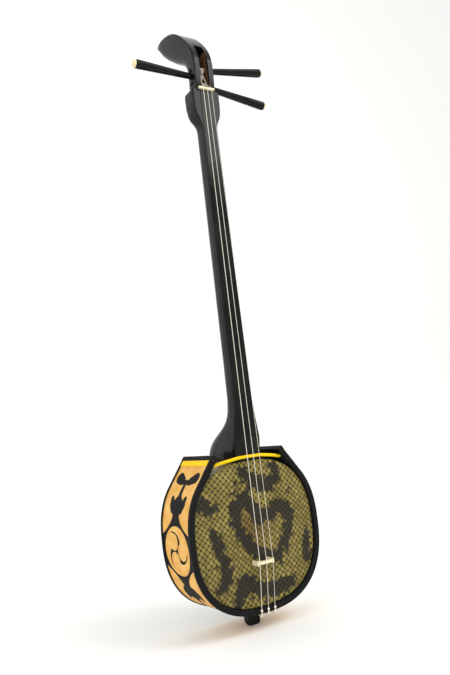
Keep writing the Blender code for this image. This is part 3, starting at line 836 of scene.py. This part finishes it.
# Lengths of the ornament are in millimetres, from the middle of its disc
ornament = {
    "discDrop": 9,  # the disc's middle below the middle of the side
    "disc": 29.5,
    "outline": 3.0,
    "border": 4.0,  # gold left whole round the commas
    "commas": 3,
    "firstTurn": math.radians(30),
    "sweep": math.radians(125),
    "commaSteps": 12,
    "head": 9.8,
    "headAt": 12.6,
    "tailOut": 14.5,
    "tailBend": 0.55,
    "taper": 1.1,
    "tip": 0.4,
    "trunkTop": 47,
    "trunkHalf": 7.5,
    "flare": 24,
    "flareFrom": 20,
    "flareBend": 2.2,
    "flareMost": 1.2,
    "collar": [(50, 0, 11), (56, 0, 10)],
    "ears": [(50, 9, 6.5), (55, 13, 6), (62, 16, 3.5)],
    "stem": [(46, 0, 9), (62, 0, 4.2), (84, 0, 3.2)],
    "petal": [(83, 3, 3), (85, 10, 6), (89, 20, 7.5)],
    "bottomClear": 4,  # round the disc under the body
}


def motifDistance(s, t):
    # Distance to the black of one motif; s runs up from the disc's middle and t across the cloth.
    up = np.abs(s)
    top = ornament["trunkTop"]
    flare = np.clip((top - up) / (top - ornament["flareFrom"]), 0, ornament["flareMost"])
    half = ornament["trunkHalf"] + ornament["flare"] * flare ** ornament["flareBend"]
    black = np.maximum(np.abs(t) - half, up - top)
    for part in ("collar", "stem"):
        black = np.minimum(black, chainDistance(up, t, ornament[part]))
    for part in ("ears", "petal"):
        black = np.minimum(black, chainDistance(up, np.abs(t), ornament[part]))
    return discDistance(s, t, black)


def commaChain(turned):
    # One gold comma: its head is near the middle, and its tail thins as it sweeps outwards.
    chain = []
    for i in range(ornament["commaSteps"] + 1):
        share = i / ornament["commaSteps"]
        turn = ornament["firstTurn"] + turned + ornament["sweep"] * share
        reach = ornament["headAt"] + ornament["tailOut"] * share ** ornament["tailBend"]
        radius = ornament["head"] * (1 - share) ** ornament["taper"] + ornament["tip"]
        chain.append((reach * math.cos(turn), reach * math.sin(turn), radius))
    return chain


def discDistance(s, t, black):
    # A gold disc in a black outline, parted by black into three commas that follow each other
    away = np.hypot(s, t)
    rim = np.abs(away - ornament["disc"] - ornament["outline"] / 2) - ornament["outline"] / 2
    black = np.maximum(np.minimum(black, rim), ornament["disc"] - away)
    gold = np.full(s.shape, farOff)
    for k in range(ornament["commas"]):
        comma = commaChain(math.tau * k / ornament["commas"])
        gold = np.minimum(gold, chainDistance(s, t, comma))
    between = np.maximum(-gold, away - ornament["disc"] + ornament["border"])
    return np.minimum(black, between)


def ornamentValues(uvs):
    flat = np.array(uvs) * 1000
    length = flat[:, 0]
    across = flat[:, 1] - clothOut * 1000
    total = length.min() + length.max()
    left = -(length - ornament["discDrop"])
    right = -(total - length - ornament["discDrop"])
    black = np.minimum(motifDistance(left, across), motifDistance(right, across))
    under = length - total / 2
    bottom = discDistance(under, across, np.full(length.shape, farOff))
    clear = ornament["disc"] + ornament["outline"] + ornament["bottomClear"]
    return np.where(np.hypot(under, across) < clear, bottom, black) / 1000


def buildBand():
    inner = body["deep"] - body["edgingThick"] - body["gap"]
    section = [(clothOut, -inner + 2 * inner * i / bandRows) for i in range(bandRows + 1)]
    section += [(clothIn, inner), (clothIn, -inner)]
    values = {"ornament": ornamentValues}
    cloth = bandSweep("brocadeBand", section, body["straight"], mats["brocade"], values)
    dress(cloth, "instrument", "gold_cloth", "band")

    section = [(liningIn, -inner), (liningIn, inner), (liningOut, inner), (liningOut, -inner)]
    lining = bandSweep("bandLining", section, body["straight"], mats["lining"])
    dress(lining, "instrument", "black_lining", "band_lining")

    longEnd = body["straight"] - body["edgingWide"] - body["gap"]
    for name, side, node in (("frontEdging", -1, "front_binding"), ("backEdging", 1, "back_binding")):
        tape = bandSweep(name, edgingSection(side), longEnd, mats["edging"])
        dress(tape, "instrument", "black_binding", node)
    print("band built")


edging = {
    "ease": 0.0012,
    "innerEase": 0.4,  # share of the ease on the lining's side
    "roundSteps": 5,
    "legSlope": 0.0004,
    "legLip": 0.0003,
    "capEase": 0.0010,
    "capSteps": 4,
    "capInner": 0.35,  # share of the tape's thickness on the lining's side
    "capRows": 24,
    "capInset": 0.01,  # share of a row between a side wall and the first row
}


def edgingSection(side):
    # Folded tape: round over the edge, flat on the outside, and short on the lining's side
    edge = body["deep"]
    fold = edge - body["edgingThick"]
    ease = edging["ease"]
    inset = ease * edging["innerEase"]
    outer = [(liningIn, fold), (liningIn, edge - inset), (liningIn + inset, edge)]
    for turn in quarterTurn(edging["roundSteps"]):
        outer.append((edgingOut - ease + ease * math.sin(turn), edge - ease + ease * math.cos(turn)))
    leg = edge - body["edgingWide"]
    under = edgingOut - body["edgingThick"]
    outer += [(edgingOut, leg + edging["legSlope"]), (edgingOut - edging["legLip"], leg)]
    outer += [(under, leg), (under, fold)]
    return [(offset, side * y) for offset, y in outer]


def capSection(low, top):
    # Folded tape over an end of the band, from low up to top along the band
    thick = body["edgingThick"]
    ease = edging["capEase"]
    lip = edging["legLip"]
    section = [(liningIn, low), (liningIn, top - ease), (liningIn + ease, top)]
    for turn in quarterTurn(edging["capSteps"]):
        section.append((edgingOut - ease + ease * math.sin(turn), top - ease + ease * math.cos(turn)))
    section += [(edgingOut, low + lip), (edgingOut - lip, low), (edgingOut - thick, low)]
    inner = liningIn + thick * edging["capInner"]
    return section + [(edgingOut - thick, top - thick), (inner, top - thick), (inner, low)]


def buildBandEnd(word, side):
    # The edging's cap over an end, swept across the band: side walls are whole, the rest is hollow
    top = body["straight"] + body["gap"] + body["edgingThick"]
    low = body["straight"] - body["edgingWide"]
    section = capSection(low, top)
    wall = body["deep"] - body["edgingThick"]
    rows = edging["capRows"]
    inset = edging["capInset"]
    spots = [(-body["deep"], True), (-wall, True)]
    spots += [(-wall + 2 * wall * (row + inset) / (rows + 2 * inset), False) for row in range(rows + 1)]
    spots += [(wall, True), (body["deep"], True)]
    verts = []
    uvs = []
    for y, whole in spots:
        for offset, along in section:
            if whole and along == top - body["edgingThick"]:
                along = low + body["gap"]
            place = bandEnd(side, along, offset)
            verts.append((place.x, y, place.y))
            uvs.append((y, along + offset))
    faces = ringFaces(len(spots), len(section))
    cap = addMesh(f"{word}EndEdging", verts, faces, mats["edging"], uvs)
    dress(cap, "instrument", "black_binding", f"{word}_end_binding")


tie = {
    "radius": 0.0021,
    "high": 0.005,  # its middle above the body's top
    "heelHalf": 0.0200,
    "heelFront": 0.0352,
    "heelBack": 0.0345,
    "press": 0.4,  # share of its radius from its middle to the lining
    "shares": (0.93, 0.82, 0.68, 0.52),  # of the way from the neck's middle to the band
    "bend": 1.5,
    "lastIn": 0.7,  # its last point beside the heel, as shares of the heel's half and of the rise
    "lastUp": 0.94,
    "step": 0.35,  # share of its radius between two rings
}

ribbon = {"wide": 0.0075, "rows": 48, "across": 8, "pucker": 0.00012, "puckerRate": 1.9, "edgeDrop": 0.5}


def tieAlong():
    return body["straight"] - body["edgingWide"] - 2 * body["gap"] - ribbon["wide"] / 2


def tieHoleDepth():
    return body["deep"] - body["edgingWide"] - body["gap"] - tie["radius"]


def tiePoints(side, heel):
    # Out of one end of the band, past the heel and into the other end
    top = body["middle"] + body["half"] + body["gap"] + body["skinThick"] + tie["high"]
    passing = heel + body["gap"] + tie["radius"]
    depth = tieHoleDepth()
    outside = bandEnd(1, tieAlong(), clothOut)
    inside = bandEnd(1, tieAlong(), liningIn - tie["radius"] * tie["press"])
    clear = tie["heelHalf"] + tie["radius"]
    reach = inside.x - tie["radius"]
    rise = top - inside.y
    half = [(outside.x, depth, outside.y), (inside.x, depth, inside.y)]
    for share in tie["shares"]:
        x = reach * share
        bend = max(0.0, (x - clear) / (reach - clear)) ** tie["bend"]
        half.append((x, passing + (depth - passing) * bend, inside.y + rise * (1 - share ** 2)))
    half.append((clear * tie["lastIn"], passing, inside.y + rise * tie["lastUp"]))
    other = [(-x, y, z) for x, y, z in reversed(half)]
    return [(x, side * y, z) for x, y, z in [*half, (0.0, passing, top), *other]]


def buildTies():
    radius = tie["radius"]
    for name, side, heel, node in (
        ("frontTie", -1, tie["heelFront"], "front_cord"),
        ("backTie", 1, tie["heelBack"], "back_cord"),
    ):
        route = smoothRoute(tiePoints(side, heel), radius * tie["step"])
        cord = twistedCord(name, route, radius, mats["tie"], lay=3.2, sides=20, strands=4, depth=0.14)
        dress(cord, "instrument", "yellow_tie", node)


def buildRibbon(word, side):
    # A flat ribbon that lies on the cloth, a little fuller in its middle than at its edges
    deep = body["deep"] - body["edgingWide"] - body["gap"]
    thick = edgingOut - clothOut - body["gap"]
    across = ribbon["across"]
    verts = []
    uvs = []
    for row in range(ribbon["rows"] + 1):
        y = -deep + 2 * deep * row / ribbon["rows"]
        pucker = ribbon["pucker"] * math.sin(row * ribbon["puckerRate"])
        upper = []
        lower = []
        for i in range(across + 1):
            share = i / across * 2 - 1
            along = tieAlong() + share * ribbon["wide"] / 2
            full = thick * (1 - ribbon["edgeDrop"] * share ** 4) + pucker * (1 - share ** 2)
            upper.append((along, clothOut + body["gap"] + full))
            lower.append((along, clothOut + body["gap"] * 0.5))
        for along, offset in upper + lower[::-1]:
            place = bandEnd(side, along, offset)
            verts.append((place.x, y, place.y))
            uvs.append((y, along))
    faces = ringFaces(ribbon["rows"] + 1, 2 * across + 2)
    piece = addMesh(f"{word}Ribbon", verts, faces, mats["tie"], uvs, sharp=60)
    dress(piece, "instrument", "yellow_tie", f"{word}_ribbon")


# Strings, their turns on the pegs, knots and tail cords

strings = {
    "thick": {"radius": 0.00040, "order": -1, "peg": "left", "start": -0.0045, "step": 1},
    "middle": {"radius": 0.00033, "order": 0, "peg": "upper", "start": -0.0010, "step": 1},
    "thin": {"radius": 0.00028, "order": 1, "peg": "lower", "start": 0.0045, "step": -1},
    "nutPitch": 0.0062,
    "bridgePitch": 0.0097,
    "turns": 4,
    "turnPoints": 36,
    "turnClear": 0.0005,
    "pegRadius": 0.0034,
    "pegTaper": 0.028,
    "step": 0.0007,  # between two rings of a straight string
}


def stringCorners(string):
    # Where the string crosses the nut and the bridge
    clear = body["gap"] + string["radius"]
    low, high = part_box("nut")
    nut = Vector((string["order"] * strings["nutPitch"], low.y - clear, high.z + string["radius"]))
    low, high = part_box("bridge")
    across = string["order"] * strings["bridgePitch"]
    bridge = Vector((across, low.y - clear, (low.z + high.z) / 2))
    return nut, bridge


def onAxis(joint, x):
    middle = Vector(joint["pos_m"])
    axis = Vector(joint["axis"])
    return middle + axis * (x - middle.x) / axis.x


def windingRoute(string):
    # The turns on the peg, with a short lead towards the nut, and the lead's direction
    joint = joints[f"{string['peg']}_peg_turn"]
    radius = string["radius"]
    nut, _ = stringCorners(string)
    pitch = (2 * radius + strings["turnClear"]) * string["step"]
    shaftX = abs(string["start"]) + strings["turns"] * abs(pitch)
    reach = strings["pegRadius"] + strings["pegTaper"] * shaftX + body["gap"] + radius
    centre = onAxis(joint, string["start"])
    away = Vector((nut.y - centre.y, nut.z - centre.z))
    first = math.atan2(away.y, away.x) - math.acos(reach / away.length)
    turns = []
    for i in range(strings["turns"] * strings["turnPoints"] + 1):
        share = i / strings["turnPoints"]
        turn = first - math.tau * share
        out = Vector((0, math.cos(turn), math.sin(turn)))
        turns.append(onAxis(joint, string["start"] + pitch * share) + out * reach)
    lead = (nut - turns[0]).normalized()
    clear = reach + 2 * radius + body["gap"] / 2
    start = turns[0] + lead * math.sqrt(clear ** 2 - reach ** 2)
    trail = (turns[-1] - turns[-2]).normalized()
    return [start, *turns, turns[-1] + trail * 2 * radius], lead


def buildStrings():
    knots = {"thick": "left_knot", "middle": "middle_knot", "thin": "right_knot"}
    for size in ("thick", "middle", "thin"):
        string = strings[size]
        radius = string["radius"]
        wound, lead = windingRoute(string)
        coil = twistedCord(f"{size}Turns", wound, radius, mats["silk"], lay=2.4, sides=10)
        dress(coil, f"{string['peg']}_tuner", "cream_silk", f"{size}_winding")
        low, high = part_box(knots[size])
        knot = (low + high) / 2
        nut, bridge = stringCorners(string)
        end = knot + (bridge - knot).normalized() * ((high.z - low.z) / 2 + body["gap"])
        corners = [wound[0] + lead * body["gap"], nut, bridge, end]
        route = straightRoute(corners, strings["step"])
        strand = twistedCord(f"{size}Strand", route, radius, mats["silk"], lay=2.4, sides=10)
        dress(strand, "instrument", "cream_silk", f"{size}_string")
    print("strings built")


knotLook = {"rows": 20, "around": 28, "slant": 2.5, "fullness": 0.6, "groove": 0.20}


def buildKnot(word):
    # A small knot: a ball whose turns of cord cross it slantwise
    low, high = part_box(f"{word}_knot")
    middle = (low + high) / 2
    radius = (high.z - low.z) / 2
    rows = knotLook["rows"]
    around = knotLook["around"]
    verts = []
    for row in range(rows + 1):
        tilt = math.pi * (row + 0.5) / (rows + 1)
        for i in range(around):
            turn = math.tau * i / around
            wrap = abs(math.sin(knotLook["slant"] * tilt + turn)) ** knotLook["fullness"]
            reach = radius * (1 - knotLook["groove"] * (1 - wrap))
            flat = math.sin(tilt)
            out = Vector((flat * math.cos(turn), flat * math.sin(turn), math.cos(tilt)))
            verts.append(middle + out * reach)
    knot = addMesh(f"{word}Knot", verts, ringFaces(rows + 1, around), mats["silk"], sharp=80)
    dress(knot, "instrument", "cream_silk", f"{word}_knot")


tail = {
    "legRadius": 0.0009,
    "loopRadius": 0.0013,
    "length": 0.020,
    "half": 0.0082,
    "deep": 0.0070,
    "legClear": 1.15,  # of the leg's radius, under and before the band's edge
    "cornerPoints": 7,  # of the loop, at each corner of the stub
    "step": 0.4,  # share of a cord's radius between two rings
}


def buildTailLoop(reach, loopZ):
    loop = []
    each = tail["cornerPoints"]
    for corner, (x, y) in enumerate(((1, 1), (-1, 1), (-1, -1), (1, -1))):
        for i in range(each):
            turn = math.pi / 2 * (corner + i / (each - 1))
            place = (tail["half"] * x + reach * math.cos(turn), tail["deep"] * y + reach * math.sin(turn))
            loop.append(Vector((*place, loopZ)))
    radius = tail["loopRadius"]
    dense = straightRoute([*loop, loop[0]], radius * tail["step"])[:-1]
    ring = twistedCord("tailLoop", dense, radius, mats["silk"], lay=2.6, sides=18, cyclic=True)
    dress(ring, "instrument", "cream_silk", "tail_loop")


def buildTailCords():
    # The loop goes round the stub, and a leg goes from it under the band's edge to each knot.
    gap = body["gap"]
    radius = tail["legRadius"]
    loopZ = tail["length"] - gap - radius - tail["loopRadius"]
    reach = 1.5 * gap + tail["loopRadius"]
    buildTailLoop(reach, loopZ)
    under = tail["length"] - gap - radius * tail["legClear"]
    front = -body["deep"] - gap - radius * tail["legClear"]
    meet = -tail["deep"] - reach - tail["loopRadius"] - gap
    for word in ("left", "middle", "right"):
        low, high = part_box(f"{word}_knot")
        x = (low.x + high.x) / 2
        points = [
            (x, (low.y + high.y) / 2, low.z - gap),
            (x, front, tail["length"] + 0.0004),
            (x * 0.98, front + 0.0006, under - 0.0001),
            (x * 0.95, front + 0.0022, under - 0.0003),
            (x * 0.50, meet - 0.006, (under + loopZ) / 2),
            (x * 0.38, meet - 0.002, loopZ),
            (x * 0.38, meet, loopZ),
        ]
        route = smoothRoute(points, radius * tail["step"])
        leg = twistedCord(f"{word}Leg", route, radius, mats["silk"], lay=2.6, sides=14)
        dress(leg, "instrument", "cream_silk", f"{word}_leg")
        buildKnot(word)
    print("tail cords built")


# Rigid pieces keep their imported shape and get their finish

def finishRigidPieces():
    finishes = {
        "lacquer": ["neck", "lower_peg", "left_peg", "upper_peg"],
        "ivory": ["nut", "bridge", "lower_peg_tip", "left_peg_tip", "upper_peg_tip"],
        "wood": ["top_frame", "bottom_frame", "left_frame", "right_frame"],
    }
    for finish, nodes in finishes.items():
        for name in nodes:
            node = frame["nodes"][name]
            for place in node.material_slots:
                place.material = mats[finish]
    print("rigid pieces finished")


# Floor, backdrop and light

stage = {
    "paper": (0.93, 0.935, 0.92, 1),
    "reach": 3.0,
    "bend": 0.5,
    "bendSteps": 16,
    "behind": 0.9,
    "drop": 0.0002,  # under the object's foot
}


def buildStage():
    # One sweep of pale paper: flat under the object and curved up behind it
    reach = stage["reach"]
    bend = stage["bend"]
    rows = [(-reach, 0.0)]
    for turn in quarterTurn(stage["bendSteps"]):
        rows.append((stage["behind"] + bend * math.sin(turn), bend * (1 - math.cos(turn))))
    rows.append((stage["behind"] + bend, reach))
    verts = [(x, y, z - stage["drop"]) for y, z in rows for x in (-reach, reach)]
    faces = [(2 * i, 2 * i + 1, 2 * i + 3, 2 * i + 2) for i in range(len(rows) - 1)]
    mat, _, shader = newMaterial("palePaper", 0.9, specular=0.1)
    shader.inputs["Base Color"].default_value = stage["paper"]
    addMesh("paleSweep", verts, faces, mat)


# Each light has its place, its size and its power
lights = {
    "world": 0.96,
    "tint": (1.0, 1.0, 0.99, 1),
    "aim": (0, 0, 0.35),
    "key": ((0.9, -1.3, 1.7), 1.0, 16.0),
    "fill": ((-1.4, -0.9, 0.9), 1.2, 5.0),
}


def buildLights():
    world = bpy.data.worlds.new("paleRoom")
    world.use_nodes = True
    bpy.context.scene.world = world
    back = world.node_tree.nodes["Background"]
    back.inputs["Color"].default_value = lights["tint"]
    back.inputs["Strength"].default_value = lights["world"]
    aim = Vector(lights["aim"])
    for name in ("key", "fill"):
        place, size, power = lights[name]
        data = bpy.data.lights.new(name, "AREA")
        data.size = size
        data.energy = power
        lamp = bpy.data.objects.new(name, data)
        bpy.context.scene.collection.objects.link(lamp)
        lamp.location = place
        lamp.rotation_euler = (aim - Vector(place)).to_track_quat("-Z", "Y").to_euler()


placeCamera()
buildHide("frontHide", -1, "front_skin")
buildHide("backHide", 1, "back_skin")
print("hides built")
buildBand()
for word, side in (("left", -1), ("right", 1)):
    buildBandEnd(word, side)
    buildRibbon(word, side)
buildTies()
buildStrings()
buildTailCords()
finishRigidPieces()
buildStage()
buildLights()
bpy.context.scene.view_settings.view_transform = "Standard"
